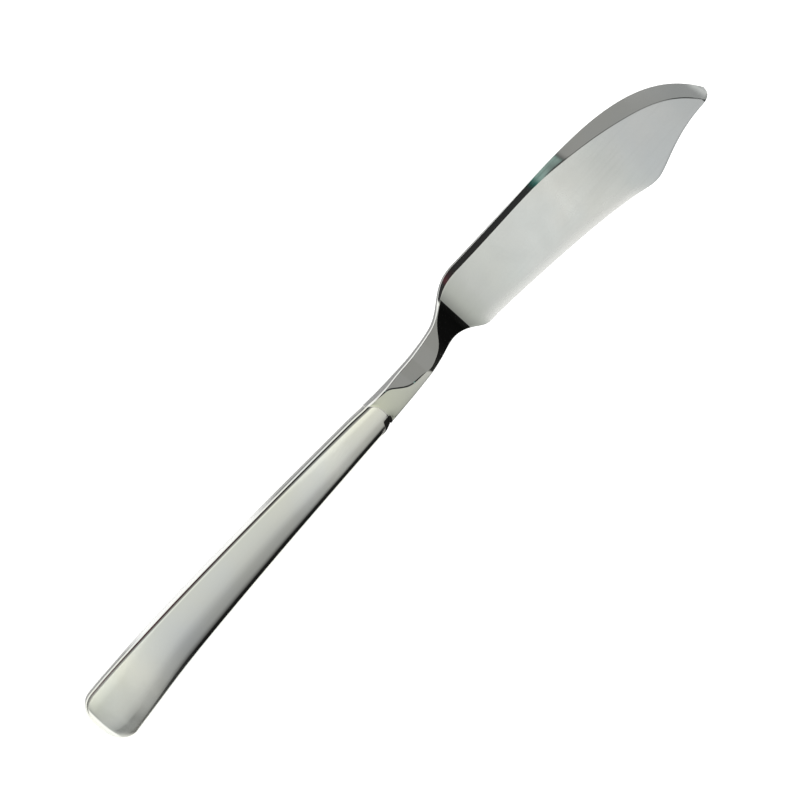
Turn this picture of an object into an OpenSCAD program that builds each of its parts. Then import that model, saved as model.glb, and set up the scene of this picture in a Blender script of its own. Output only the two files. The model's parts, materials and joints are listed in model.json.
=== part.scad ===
// Fish knife with a hollow handle, lying on a table with its good side up.
//
// +X runs along the knife towards the tip, +Y towards the back of the blade and +Z up
// from the table. The origin is on the table, under the middle of the knife's box.
// Inside the file, x is counted from the butt and y from the axis of the handle, and
// settle() moves the finished pieces to the origin.
//
// The knife is built as the real one: two pressed half shells are brazed together at
// their rims, filled with cement, and closed by a forging that is blade, neck and tang
// in one. The forging is lofted: ring after ring of the same points, skinned.

/* [Handle] */
// Length of the shells, from the butt to their front rim
handle_l = 98.8; // [80:0.1:120]
// Full width at the butt, seen from above
butt_w = 14.5; // [11:0.1:17]
// Full width at the front rim
front_w = 7.5; // [6.6:0.1:9]
// How far each side swells out from a straight taper, half way along
side_swell = 0.04; // [0:0.02:0.4]
// How far the handle's middle bows towards the back
bow = 0.66; // [0:0.02:0.8]
// How far the butt lies towards the edge side
butt_sag = 0.44; // [0:0.02:0.6]
// How far the front rim lies towards the edge side
front_sag = 0.4; // [0:0.02:0.6]
// Thickness, from the top of the crown to the underside
handle_t = 5.8; // [5.4:0.1:7.5]
// Slope of the crown where it meets the rounded shoulder, in degrees
crown_angle = 20; // [8:1:22]
// Radius of the shoulder between the crown and the side
shoulder_r = 1.5; // [1.1:0.1:1.8]
// Length over which the butt rounds off, seen from above
butt_round_l = 5.2; // [2.5:0.1:7]
// Length over which the butt rounds off, seen from the side
butt_roll_l = 2.2; // [1:0.1:4]
// Wall of the pressed shells
wall_t = 0.8; // [0.4:0.05:1]
// Thickness of the braze between the two shells
seam_t = 0.16; // [0.08:0.02:0.4]
// Thickness of the braze between the shells and the neck
collar_t = 0.16; // [0.08:0.02:0.4]

/* [Tang] */
// Length of the tang inside the handle
tang_l = 42; // [25:1:60]
// Width of the tang
tang_w = 4.2; // [3:0.1:4.6]
// Thickness of the tang
tang_t = 2.4; // [1.6:0.1:2.8]
// Depth of the notches that key the tang into the cement
notch_d = 0.7; // [0.3:0.1:1.1]
// Length of each notch
notch_l = 3; // [1.5:0.5:4]
// Number of notches on each side
notches = 4; // [2:1:6]

/* [Neck] */
// Length of the neck, from its shoulder to the heel line on the blade
neck_l = 27.9; // [24:0.1:34]
// How far the neck's edge side starts in from the handle's
joint_step = 0.45; // [0.2:0.05:0.6]
// Distance from the axis to the neck's back side at its waist
waist_rise = 2.95; // [2.5:0.05:3.4]
// Distance from the axis to the neck's back side where it flares to the blade
flare_rise = 6.4; // [5.4:0.1:7.2]
// Distance from the axis to the neck's edge side where the ramp starts
ramp_drop = 2.36; // [2:0.02:2.8]
// Distance from the axis to the neck's edge side at the throat
throat_drop = 1.84; // [1.4:0.02:2]
// Slope of the long facet towards the back side, in degrees
facet_angle = 25; // [20:1:32]
// Height of the arch under the neck
arch_h = 0.7; // [0.2:0.1:1.1]
// Radius along the neck's upper edge side
neck_edge_r = 0.3; // [0.2:0.05:0.6]
// Radius along the neck's underside
neck_foot_r = 1.1; // [0.6:0.1:1.3]

/* [Blade] */
// Length of the blade, from the heel line to the tip
blade_l = 78.2; // [65:0.1:95]
// Height of the back above the axis, at its highest
back_rise = 9.5; // [8:0.1:11.5]
// Distance from the heel line to the highest point of the back
peak_l = 7.5; // [5:0.5:10]
// Drop of the heel's corner below the axis
heel_drop = 6.25; // [5.2:0.05:7.2]
// Drop of the belly below the axis
belly_drop = 13.65; // [11.5:0.05:16]
// Drop of the waist between belly and tip
notch_drop = 9.75; // [9:0.05:11]
// Drop of the tip below the axis
tip_drop = 7.2; // [6.2:0.1:8.2]
// Thickness of the face along the straight part of the back
blade_t = 2.2; // [1.8:0.1:2.6]
// Thickness at the belly of the cutting edge, which is left blunt
edge_t = 0.5; // [0.4:0.05:0.9]
// Width of the bevel along the straight part of the back
back_bevel_w = 0.8; // [0.4:0.1:1.2]
// Width of the bevel along the curve to the tip
tip_bevel_w = 2.1; // [1.4:0.1:3]
// Depth of the bevel along the straight part of the back
bevel_d = 0.7; // [0.3:0.05:0.9]
// Depth of the bevel along the curve to the tip
tip_bevel_d = 1; // [0.6:0.05:1.1]
// Draft of the forged back, from the table to the bevel
back_draft = 0.3; // [0.1:0.05:0.5]
// How much higher the blade's face is at the heel line
heel_rise = 0.25; // [0.1:0.05:0.4]
// Radius of the blade's small corners
blade_edge_r = 0.15; // [0.05:0.01:0.18]

/* [Hidden] */

// How far a cutting or joining solid runs past the face that it goes through
overrun = 0.4;

// Places along the knife, counted from the butt
joint_x = handle_l + collar_t;
heel_x = joint_x + neck_l;
peak_x = heel_x + peak_l;
tip_x = heel_x + blade_l;
axis_z = handle_t / 2;

// Steps along each stretch, and round each curve
BUTT_STEPS = 9;
HANDLE_STEPS = 12;
CROWN_STEPS = 10;
SHOULDER_STEPS = 4;
NECK_STEPS = 30;
BLADE_STEPS = 44;
FACE_STEPS = 6;

// Curves

function mix(a, b, u) = a + (b - a) * u;
function ease(u) = u <= 0 ? 0 : u >= 1 ? 1 : u * u * (3 - 2 * u);
function unit(v) = v / norm(v);

// A point on the cubic with the four control points p
function bezier(p, u) =
    pow(1 - u, 3) * p[0] + 3 * u * pow(1 - u, 2) * p[1] + 3 * u * u * (1 - u) * p[2] + pow(u, 3) * p[3];

// The direction of that cubic
function bezier_dir(p, u) =
    unit(pow(1 - u, 2) * (p[1] - p[0]) + 2 * u * (1 - u) * (p[2] - p[1]) + u * u * (p[3] - p[2]));

// A smooth curve through rows of [place, value, slope], read at x and level past its ends
function guide(rows, x) =
    let (
        last = len(rows) - 1,
        inside = [for (i = [0:last - 1]) if (x >= rows[i][0] && x <= rows[i + 1][0]) i],
        i = len(inside) > 0 ? inside[0] : 0,
        a = rows[i],
        b = rows[i + 1],
        u = (x - a[0]) / (b[0] - a[0])
    )
    x <= rows[0][0] ? rows[0][1]
    : x >= rows[last][0] ? rows[last][1]
    : (2 * pow(u, 3) - 3 * u * u + 1) * a[1] + (3 * u * u - 2 * pow(u, 3)) * b[1]
        + (b[0] - a[0]) * ((pow(u, 3) - 2 * u * u + u) * a[2] + (pow(u, 3) - u * u) * b[2]);

// Skins

// Joins rings of equally many points into one closed solid, with a face over each end
module skin(rings) {
    n = len(rings[0]);
    last = len(rings) - 1;
    sides = [
        for (i = [0:last - 1], j = [0:n - 1])
        let (a = i * n + j, b = i * n + (j + 1) % n)
        each [[a, a + n, b], [b, a + n, b + n]]
    ];
    ends = [[for (j = [0:n - 1]) j], [for (j = [n - 1:-1:0]) last * n + j]];
    polyhedron(points = [for (ring = rings) each ring], faces = concat(sides, ends), convexity = 6);
}

// Joins two sheets of equally many points into a shell of their gap. Each sheet's first
// row is an arc that the sheet closes with a face, and the rim runs round the rest.
module shell(outer, inner) {
    n = len(outer[0]);
    last = len(outer) - 1;
    count = n * (last + 1);
    rim = concat(
        [for (i = [0:last]) i * n],
        [for (j = [1:n - 1]) last * n + j],
        [for (i = [last - 1:-1:0]) i * n + n - 1]
    );
    sheet = concat([[for (j = [0:n - 1]) j]], [
        for (i = [0:last - 1], j = [0:n - 2])
        let (a = i * n + j)
        each [[a, a + n, a + 1], [a + 1, a + n, a + n + 1]]
    ]);
    edge = [
        for (k = [0:len(rim) - 1])
        let (a = rim[k], b = rim[(k + 1) % len(rim)])
        each [[a, a + count, b], [b, a + count, b + count]]
    ];
    polyhedron(
        points = concat([for (row = outer) each row], [for (row = inner) each row]),
        faces = concat(sheet, [for (f = sheet) [for (k = [len(f) - 1:-1:0]) f[k] + count]], edge),
        convexity = 6
    );
}

// Handle

// Shares that shape the butt: how square its plan is, and how much of it ends flat
butt_square_share = 1.85;
butt_flat_share = 0.985;
// The shells have the same wall all round, so the cavity has its own smaller shoulder
cavity_r = shoulder_r - wall_t;

// Half width of the handle at x, before the butt rounds off
function side_y(x) =
    let (u = max(0, (x - butt_round_l) / (handle_l - butt_round_l)))
    mix(butt_w, front_w, u) / 2 + 4 * side_swell * u * (1 - u);

// Places of the bow as shares of the handle, with the slopes of its middle line
bow_from_share = 0.09;
bow_share = 0.37;
bow_in_slope = 0.048;
bow_out_slope = -0.029;

// The handle's middle line, seen from above
mid_rows = [
    [0, -butt_sag, 0],
    [bow_from_share * handle_l, 0, bow_in_slope],
    [bow_share * handle_l, bow, 0],
    [handle_l, -front_sag, bow_out_slope]
];

// Share of the full width and of the full height that is left at x, near the butt
function butt_plan_share(x) =
    x >= butt_round_l ? 1
    : pow(1 - pow(butt_flat_share * (1 - x / butt_round_l), butt_square_share), 1 / butt_square_share);
function butt_roll_share(x) =
    x >= butt_roll_l ? 1 : sqrt(1 - pow(butt_flat_share * (1 - x / butt_roll_l), 2));

// Stations along the handle, close together where the butt rounds off
handle_xs = concat(
    [for (i = [0:BUTT_STEPS - 1]) butt_round_l * (1 - cos(90 * i / BUTT_STEPS))],
    [for (i = [0:HANDLE_STEPS]) mix(butt_round_l, handle_l, i / HANDLE_STEPS)]
);

// Upper half of a section, from rim to rim: half width a, half height h, shoulder r.
// Near the butt the height above the rim shrinks by the share roll.
function half_section(a, h, r, roll = 1) =
    let (
        rim = seam_t / 2,
        round_r = min(r, a / 2),
        flat_a = a - round_r * (1 - sin(crown_angle)),
        crown_r = flat_a / sin(crown_angle),
        centre_z = h - crown_r * (1 - cos(crown_angle)) - round_r * cos(crown_angle),
        shoulder = [
            for (i = [0:SHOULDER_STEPS])
            let (turn = mix(90, crown_angle, i / SHOULDER_STEPS))
            [a - round_r + round_r * sin(turn), centre_z + round_r * cos(turn)]
        ],
        crown = [
            for (i = [1:CROWN_STEPS - 1])
            let (turn = mix(crown_angle, -crown_angle, i / CROWN_STEPS))
            [crown_r * sin(turn), h - crown_r * (1 - cos(turn))]
        ],
        far_shoulder = [for (i = [SHOULDER_STEPS:-1:0]) [-shoulder[i][0], shoulder[i][1]]],
        arc = concat(shoulder, crown, far_shoulder)
    )
    concat([[a, rim]], [for (p = arc) [p[0], rim + (p[1] - rim) * roll]], [[-a, rim]]);

// The outside of the upper half, as sections along the handle
outer_rows = [
    for (x = handle_xs)
    let (
        s = half_section(side_y(x) * butt_plan_share(x), handle_t / 2, shoulder_r, butt_roll_share(x)),
        mid_y = guide(mid_rows, x)
    )
    [for (p = s) [x, mid_y + p[0], p[1]]]
];

// The cavity's upper half, one wall further in
inner_rows = [
    for (x = handle_xs)
    let (
        inner_x = mix(wall_t, handle_l, x / handle_l),
        a = (side_y(inner_x) - wall_t) * butt_plan_share(x),
        s = half_section(a, handle_t / 2 - wall_t, cavity_r, butt_roll_share(x)),
        mid_y = guide(mid_rows, x)
    )
    [for (p = s) [inner_x, mid_y + p[0], p[1]]]
];

front_section = [for (p = outer_rows[len(handle_xs) - 1]) [p[1], p[2]]];
cavity_section = [for (p = inner_rows[len(handle_xs) - 1]) [p[1], p[2]]];

// A half section and its mirror image below the rim, as one closed outline. The two rim
// points of each half lie on the straight side and are left out.
function whole(half) =
    let (last = len(half) - 2)
    concat([for (i = [1:last]) half[i]], [for (i = [last:-1:1]) [half[i][0], -half[i][1]]]);

module half_shell() {
    shell(outer_rows, inner_rows);
}

module handle_top_shell() {
    color("gainsboro") settle() translate([0, 0, axis_z]) half_shell();
}

module handle_bottom_shell() {
    color("silver") settle() translate([0, 0, axis_z]) mirror([0, 0, 1]) half_shell();
}

// The strip of braze between the rims
module seam_braze() {
    color("goldenrod") settle() translate([0, 0, axis_z - seam_t / 2])
        linear_extrude(height = seam_t) difference() {
            polygon(rim_outline(outer_rows));
            polygon(concat(
                rim_outline(inner_rows),
                [
                    [handle_l + overrun, cavity_section[len(cavity_section) - 1][0]],
                    [handle_l + overrun, cavity_section[0][0]]
                ]
            ));
        }
}

// The rim's outline seen from above, down one side and back up the other
function rim_outline(rows) =
    let (last = len(rows) - 1, n = len(rows[0]))
    concat(
        [for (i = [last:-1:0]) [rows[i][0][0], rows[i][0][1]]],
        [for (i = [0:last]) [rows[i][n - 1][0], rows[i][n - 1][1]]]
    );

// The ring of braze between the shells and the neck's shoulder
module collar_braze() {
    color("darkgoldenrod") settle() translate([handle_l, 0, axis_z])
        rotate([90, 0, 90]) linear_extrude(height = collar_t) difference() {
            polygon(whole(front_section));
            polygon(whole(cavity_section));
        }
}

// Tang

// Shares of the tang: the pointed end, and where its row of notches starts and ends
point_share = 0.12;
notch_from_share = 0.2;
notch_to_share = 0.86;

// Outline of the tang from above, with its root at x = 0
module tang_outline(root) {
    pitch = tang_l * (notch_to_share - notch_from_share) / notches;
    difference() {
        polygon([
            [root, tang_w / 2],
            [-tang_l * (1 - point_share), tang_w / 2],
            [-tang_l, tang_w / 4],
            [-tang_l, -tang_w / 4],
            [-tang_l * (1 - point_share), -tang_w / 2],
            [root, -tang_w / 2]
        ]);
        for (i = [0:notches - 1], side = [-1, 1])
            translate([-tang_l * notch_from_share - pitch * (i + (side + 1) / 4), side * tang_w / 2])
                polygon([
                    [-notch_l / 2, side * overrun], [-notch_l / 4, -side * notch_d],
                    [notch_l / 4, -side * notch_d], [notch_l / 2, side * overrun]
                ]);
    }
}

module tang(root = 0) {
    translate([handle_l, -front_sag / 2, axis_z - tang_t / 2])
        linear_extrude(height = tang_t) tang_outline(root);
}

// The cement that fills the shells round the tang
module tang_cement() {
    color("tan") settle() difference() {
        translate([0, 0, axis_z]) skin([
            for (row = inner_rows)
            let (x = row[0][0], ring = whole([for (p = row) [p[1], p[2]]]))
            [for (p = ring) [x, p[0], p[1]]]
        ]);
        tang(overrun);
    }
}

// Forging: outline

// Places along the neck as shares of its length, and the slopes of its two sides there
waist_share = 0.27;
swell_share = 0.52;
bend_share = 0.755;
flare_share = 0.951;
back_slopes = [-0.11, -0.01, 0.06, 0.22, 0.7];
ramp_share = 0.687;
throat_share = 0.826;
edge_slopes = [0.06, 0.16, 0];
// How much further than the waist the back side lies at the swell and at the bend
swell_y_share = 1.03;
bend_y_share = 1.26;

neck_back = [
    [joint_x, front_w / 2 - front_sag, back_slopes[0]],
    [joint_x + waist_share * neck_l, waist_rise, back_slopes[1]],
    [joint_x + swell_share * neck_l, waist_rise * swell_y_share, back_slopes[2]],
    [joint_x + bend_share * neck_l, waist_rise * bend_y_share, back_slopes[3]],
    [joint_x + flare_share * neck_l, flare_rise, back_slopes[4]],
    [peak_x, back_rise, 0]
];

// The heel's corner: shares of the way from the heel line to the peak and from the throat
// to the heel's drop, with the slopes there
corner_x_shares = [0.045, 0.46];
corner_y_shares = [0.44, 0.93];
corner_slopes = [-0.72, -0.3, -0.1];

neck_edge = [
    [joint_x, -front_w / 2 - front_sag + joint_step, edge_slopes[0]],
    [joint_x + ramp_share * neck_l, -ramp_drop, edge_slopes[1]],
    [joint_x + throat_share * neck_l, -throat_drop, edge_slopes[2]],
    for (i = [0, 1]) [
        heel_x + corner_x_shares[i] * peak_l,
        -mix(throat_drop, heel_drop, corner_y_shares[i]),
        corner_slopes[i]
    ],
    [peak_x, -heel_drop, corner_slopes[2]]
];

// Control points of the blade's outline: one cubic for the back, three for the edge side.
// The shares give the two inner control points of each cubic.
back_x_shares = [0.48, 0.86];
back_y_shares = [0.86, 1.27];
belly_share = 0.706;
belly_x_shares = [0.92, 0.9];
belly_y_share = 0.57;
notch_share = 0.953;
notch_x_shares = [0.18, 0.48];
tip_x_share = 0.52;
tip_y_shares = [0.9, 0.1];
run = tip_x - peak_x;
belly_x = heel_x + belly_share * blade_l;
notch_x = heel_x + notch_share * blade_l;
back_curve = [
    [peak_x, back_rise],
    [peak_x + back_x_shares[0] * run, back_y_shares[0] * back_rise],
    [peak_x + back_x_shares[1] * run, back_y_shares[1] * back_rise],
    [tip_x, -tip_drop]
];
belly_curve = [
    [peak_x, -heel_drop],
    [mix(peak_x, belly_x, belly_x_shares[0]), -mix(heel_drop, belly_drop, belly_y_share)],
    [mix(peak_x, belly_x, belly_x_shares[1]), -belly_drop],
    [belly_x, -belly_drop]
];
notch_curve = [
    [belly_x, -belly_drop],
    [mix(belly_x, notch_x, notch_x_shares[0]), -belly_drop],
    [mix(belly_x, notch_x, notch_x_shares[1]), -notch_drop],
    [notch_x, -notch_drop]
];
tip_curve = [
    [notch_x, -notch_drop],
    [mix(notch_x, tip_x, tip_x_share), -notch_drop],
    [tip_x, -mix(tip_drop, notch_drop, tip_y_shares[0])],
    [tip_x, -mix(tip_drop, notch_drop, tip_y_shares[1])]
];

// The cubic of the edge side that passes x
function edge_curve(x) = x <= belly_x ? belly_curve : x <= notch_x ? notch_curve : tip_curve;

// The share at which the cubic p passes x, found by halving the stretch from low to high
function share_at(p, x, low = 0, high = 1, halvings = 20) =
    let (middle = (low + high) / 2)
    halvings == 0 ? middle
    : bezier(p, middle)[0] < x ? share_at(p, x, middle, high, halvings - 1)
    : share_at(p, x, low, middle, halvings - 1);

// Forging: heights

// The blade's face is one plane that falls from the bevel's inner line to the belly
face_y = back_rise - back_draft - back_bevel_w;
function fall_at(y) = (blade_t - edge_t) * (face_y - y) / (face_y + belly_drop);
function face_z(y) = blade_t - fall_at(y);

// The crest between the long facet and the crown, later the ramp, crosses the neck in a
// long S: its places along the neck, its distances from the axis in waist rises, its slopes
crest_x_shares = [0, 0.17, 0.23, 0.29, 0.39, 0.53, 0.6, 0.71, 0.77, 0.84, 1];
crest_y_shares = [0.93, 0.63, 0.1, -0.32, -0.53, -0.66, -0.51, 0, 0.55, 1.22, 2.15];
crest_slopes = [-0.05, -0.62, -0.85, -0.5, -0.07, 0.05, 0.32, 0.78, 1.1, 0.8, 0.6];
crest_rows = [
    for (i = [0:len(crest_x_shares) - 1])
    [joint_x + crest_x_shares[i] * neck_l, crest_y_shares[i] * waist_rise, crest_slopes[i]]
];

// The ramp: height of the neck's top from its crest down to the blade's face, whose slope
// across the knife it takes up on the way
ramp_x_shares = [0.49, 0.66, 0.82];
ramp_z_shares = [0.28, 0.61];
ramp_slopes = [-0.15, -0.23, -0.27, -0.17];
ramp_x = joint_x + ramp_x_shares[0] * neck_l;
ramp_rows = [
    [ramp_x, handle_t, ramp_slopes[0]],
    [joint_x + ramp_x_shares[1] * neck_l, mix(handle_t, blade_t, ramp_z_shares[0]), ramp_slopes[1]],
    [joint_x + ramp_x_shares[2] * neck_l, mix(handle_t, blade_t, ramp_z_shares[1]), ramp_slopes[2]],
    [heel_x, blade_t + heel_rise, ramp_slopes[3]]
];

// Past the heel line the extra height runs out in a long hollow
function top_of_ramp(x, y) =
    x <= ramp_x ? handle_t
    : x <= heel_x ? guide(ramp_rows, x) - fall_at(y) * ease((x - ramp_x) / (heel_x - ramp_x))
    : face_z(y) + heel_rise * pow(max(0, 1 - (x - heel_x) / peak_l), 2);

// The crown goes on from the handle's, at the front rim's radius, and soon flattens
crown_run_share = 0.14;
flat_crown_share = 3;
front_crown_r = (front_w / 2 - shoulder_r * (1 - sin(crown_angle))) / sin(crown_angle);
function crown_z(x, y) =
    let (
        flat = ease((x - joint_x) / (crown_run_share * neck_l)),
        r = front_crown_r * mix(1, flat_crown_share, flat),
        reach = min(abs(y + front_sag * (1 - flat)), front_w / 2)
    )
    handle_t - r + sqrt(r * r - reach * reach);

// Height of the neck's top between the crest and the edge side
function top_z(x, y) = x < heel_x ? min(crown_z(x, y), top_of_ramp(x, y)) : top_of_ramp(x, y);

// Underside of the neck: a low arch between the handle and the blade
arch_start_share = 0.4;
arch_start_slope = 0.05;
arch_x_shares = [0.46, 0.936];
arch_rows = [
    [joint_x, arch_h * arch_start_share, arch_start_slope],
    [joint_x + arch_x_shares[0] * neck_l, arch_h, 0],
    [joint_x + arch_x_shares[1] * neck_l, 0, 0]
];

// Forging: rings

// One ring of the forging, from the back's foot over the top to the edge and back below.
// b, e: points of the outline on the back and the edge side; bn, en: the ways inwards.
// draft, bevel: how far in the back's upper corner and the bevel's end lie, with their
// heights side_z and face_z; faces: points of the top face; edge_r and foot_r: radii
// of the edge's top and of both feet; edge_z and foot_z: heights of edge and underside.
function ring(b, bn, e, en, draft, bevel, side_z, face_z, faces, edge_r, edge_z, foot_r, foot_z) =
    let (soft = 1 - sqrt(0.5))
    concat(
        [
            at(b, bn, 0, foot_z + foot_r),
            at(b, bn, draft, side_z),
            at(b, bn, draft + bevel, face_z)
        ],
        faces,
        [
            at(e, en, edge_r, edge_z),
            at(e, en, edge_r * soft, edge_z - edge_r * soft),
            at(e, en, 0, edge_z - edge_r),
            at(e, en, 0, foot_z + foot_r),
            at(e, en, foot_r * soft, foot_z + foot_r * soft),
            at(e, en, foot_r, foot_z),
            at(b, bn, foot_r, foot_z),
            at(b, bn, foot_r * soft, foot_z + foot_r * soft)
        ]
    );
function at(p, inwards, distance, z) = [p[0] + inwards[0] * distance, p[1] + inwards[1] * distance, z];

// Shares that the sides and the bevel of the neck have of the blade's, where the neck
// starts to turn into the blade, and how much of the neck's height its foot may round off
neck_draft_share = 0.5;
neck_bevel_share = 0.4;
blade_from_share = 0.8;
foot_share = 0.5;
// Least shares of the top face between the bevel and the crest
crest_gap_share = 0.03;
crest_room_share = 0.9;

// A ring of the neck, square to the knife at x
function neck_ring(x) =
    let (
        blade_from = joint_x + blade_from_share * neck_l,
        to_blade = ease((x - blade_from) / (peak_x - blade_from)),
        to_face = ease((x - heel_x) / peak_l),
        back = guide(neck_back, x),
        edge = guide(neck_edge, x),
        draft = mix(back_draft * neck_draft_share, back_draft, to_blade),
        bevel = mix(back_bevel_w * neck_bevel_share, back_bevel_w, to_blade),
        drop = mix(bevel_d * neck_bevel_share, bevel_d, to_blade),
        edge_r = mix(neck_edge_r, blade_edge_r, to_blade),
        foot_r = mix(neck_foot_r, blade_edge_r, to_blade),
        foot_z = guide(arch_rows, x),
        facet_y = back - draft - bevel,
        room = facet_y - edge - edge_r,
        crest_share = (facet_y - guide(crest_rows, x)) / room,
        first = min(max(crest_share, mix(crest_gap_share, 1 / FACE_STEPS, to_face)), crest_room_share),
        crest_y = facet_y - first * room,
        facet_z = x < heel_x
            ? top_z(x, crest_y) - first * room * tan(facet_angle)
            : top_z(x, facet_y),
        faces = [
            for (i = [0:FACE_STEPS - 1])
            let (y = facet_y - mix(first, 1, i / FACE_STEPS) * room)
            [x, y, top_z(x, y)]
        ],
        side_z = facet_z - drop
    )
    ring([x, back], [0, -1], [x, edge], [0, 1], draft, bevel, side_z, facet_z, faces,
        edge_r, top_z(x, edge + edge_r), min(foot_r, (side_z - foot_z) * foot_share), foot_z);

// Shares of the back at which the bevel starts to widen and is at its widest, and the most
// that bevel, draft, edge radius and depth take of a rib's length or height near the tip
widen_shares = [0.08, 0.28];
most_bevel_share = 0.45;
most_draft_share = 0.1;
most_depth_share = 0.7;

// A ring of the blade, along the rib at share u of the back
function blade_ring(u) =
    let (
        b = bezier(back_curve, u),
        along = bezier_dir(back_curve, u),
        bn = [along[1], -along[0]],
        low_curve = edge_curve(b[0]),
        low_u = share_at(low_curve, b[0]),
        e = bezier(low_curve, low_u),
        edge_along = bezier_dir(low_curve, low_u),
        en = [-edge_along[1], edge_along[0]],
        reach = norm(e - b),
        widen = ease((u - widen_shares[0]) / (widen_shares[1] - widen_shares[0])),
        bevel = min(mix(back_bevel_w, tip_bevel_w, widen), reach * most_bevel_share),
        draft = min(back_draft, reach * most_draft_share),
        edge_r = min(blade_edge_r, reach * most_draft_share),
        face_at = at(b, bn, draft + bevel, 0),
        edge_in = at(e, en, edge_r, 0),
        inner_z = face_z(face_at[1]),
        drop = min(mix(bevel_d, tip_bevel_d, widen), inner_z * most_depth_share),
        faces = [
            for (i = [1:FACE_STEPS])
            let (p = mix(face_at, edge_in, i / (FACE_STEPS + 1)))
            [p[0], p[1], face_z(p[1])]
        ]
    )
    ring(b, bn, e, en, draft, bevel, inner_z - drop, inner_z, faces,
        edge_r, face_z(edge_in[1]), edge_r, 0);

// Blade, neck and tang in one piece
module blade() {
    neck_rings = [for (i = [0:NECK_STEPS]) neck_ring(mix(joint_x, peak_x, i / NECK_STEPS))];
    blade_rings = [for (i = [1:BLADE_STEPS]) blade_ring(i / BLADE_STEPS)];
    color("lightsteelblue") settle() {
        skin(concat(neck_rings, blade_rings));
        tang(collar_t + overrun);
    }
}

// Placing

// Moves a piece from the butt and the axis to the middle of the knife's box
module settle() {
    translate([-tip_x / 2, (belly_drop - back_rise) / 2, 0]) children();
}

blade();
handle_top_shell();
handle_bottom_shell();
seam_braze();
collar_braze();
tang_cement();
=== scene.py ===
"""Looks of the fish knife: a polished steel forging on a brazed hollow handle."""
import json
import logging
import math
from collections.abc import Callable, Iterable, Sequence
from dataclasses import dataclass
from enum import Enum

import bmesh
import bpy
from mathutils import Matrix, Vector

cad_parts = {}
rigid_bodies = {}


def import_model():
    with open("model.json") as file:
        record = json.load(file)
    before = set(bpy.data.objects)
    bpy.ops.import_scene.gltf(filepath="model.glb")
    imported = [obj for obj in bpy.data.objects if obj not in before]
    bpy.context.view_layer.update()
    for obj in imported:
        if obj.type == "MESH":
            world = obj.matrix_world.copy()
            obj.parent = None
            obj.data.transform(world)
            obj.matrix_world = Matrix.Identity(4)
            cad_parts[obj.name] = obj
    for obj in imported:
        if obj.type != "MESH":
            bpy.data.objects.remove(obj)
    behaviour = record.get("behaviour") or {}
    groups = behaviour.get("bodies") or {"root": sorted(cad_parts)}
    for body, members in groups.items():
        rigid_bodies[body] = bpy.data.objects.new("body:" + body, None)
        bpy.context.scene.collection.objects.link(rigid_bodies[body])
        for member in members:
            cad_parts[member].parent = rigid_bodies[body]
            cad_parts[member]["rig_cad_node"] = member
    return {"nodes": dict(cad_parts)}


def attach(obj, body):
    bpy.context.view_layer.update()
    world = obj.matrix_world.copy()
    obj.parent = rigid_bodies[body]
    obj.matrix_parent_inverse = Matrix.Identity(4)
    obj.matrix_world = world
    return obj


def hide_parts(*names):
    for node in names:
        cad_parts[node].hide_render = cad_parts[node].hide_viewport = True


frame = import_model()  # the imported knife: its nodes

log = logging.getLogger("fish_knife")

Ring = list[Vector]
Rows = Sequence[tuple[float, float, float]]
Shade = tuple[float, float, float]
Fade = tuple[float, float]
Stops = Sequence[Fade]
Tints = Sequence[tuple[float, Shade]]
Piece = bpy.types.Object
Socket = bpy.types.NodeSocket
Tree = bpy.types.NodeTree

MM = 0.001
ROOT = "root"
# How far the knife reaches from its butt, and from the handle's axis to either side, in millimetres
TIP_X, BACK_RISE, BELLY_DROP = 205.06, 9.5, 13.65
HALVINGS = 24
SIDE_SHARE = 0.48  # the most of a side that the rounding of one corner takes


class Slot(Enum):
    """The record's material slots."""

    BLADE = "blade_steel"
    HANDLE = "handle_steel"
    BRAZE = "braze"
    CEMENT = "cement"


# Curves


def mix(a: float, b: float, share: float) -> float:
    """The value at a share of the way from a to b."""
    return a + (b - a) * share


def ease(share: float) -> float:
    """A smooth step from 0 to 1, level at both ends."""
    held = min(max(share, 0.0), 1.0)
    return held * held * (3 - 2 * held)


def guide(rows: Rows, x: float) -> float:
    """Reads a smooth curve.

    Args:
        rows: place, value and slope of each of the curve's knots.
        x: the place to read it at.

    Returns:
        The value at x, and the end's value past either end.
    """
    if x <= rows[0][0]:
        return rows[0][1]
    if x >= rows[-1][0]:
        return rows[-1][1]
    at = next(i for i in range(len(rows) - 1) if x <= rows[i + 1][0])
    (x0, v0, s0), (x1, v1, s1) = rows[at], rows[at + 1]
    run, u = x1 - x0, (x - x0) / (x1 - x0)
    level = (2 * u**3 - 3 * u * u + 1) * v0 + (3 * u * u - 2 * u**3) * v1
    return level + run * ((u**3 - 2 * u * u + u) * s0 + (u**3 - u * u) * s1)


def bezier(points: Sequence[Vector], u: float) -> Vector:
    """A point on the cubic with four control points, at share u."""
    a, b, c, d = points
    return a * (1 - u) ** 3 + b * (3 * u * (1 - u) ** 2) + c * (3 * u * u * (1 - u)) + d * u**3


def bezier_way(points: Sequence[Vector], u: float) -> Vector:
    """The direction of that cubic at share u."""
    a, b, c, d = points
    return ((b - a) * (1 - u) ** 2 + (c - b) * (2 * u * (1 - u)) + (d - c) * u * u).normalized()


def share_at(points: Sequence[Vector], x: float) -> float:
    """The share at which that cubic passes x, found by halving."""
    low, high = 0.0, 1.0
    for _ in range(HALVINGS):
        middle = (low + high) / 2
        low, high = (middle, high) if bezier(points, middle).x < x else (low, middle)
    return (low + high) / 2


def plan(*points: tuple[float, float]) -> list[Vector]:
    """Points of the plan as vectors."""
    return [Vector((x, y, 0)) for x, y in points]


@dataclass(frozen=True)
class Corner:
    """A corner of a ring: its point, how far back it is rounded, and in how many steps."""

    point: Vector
    cut: float = 0.0
    steps: int = 0


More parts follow.
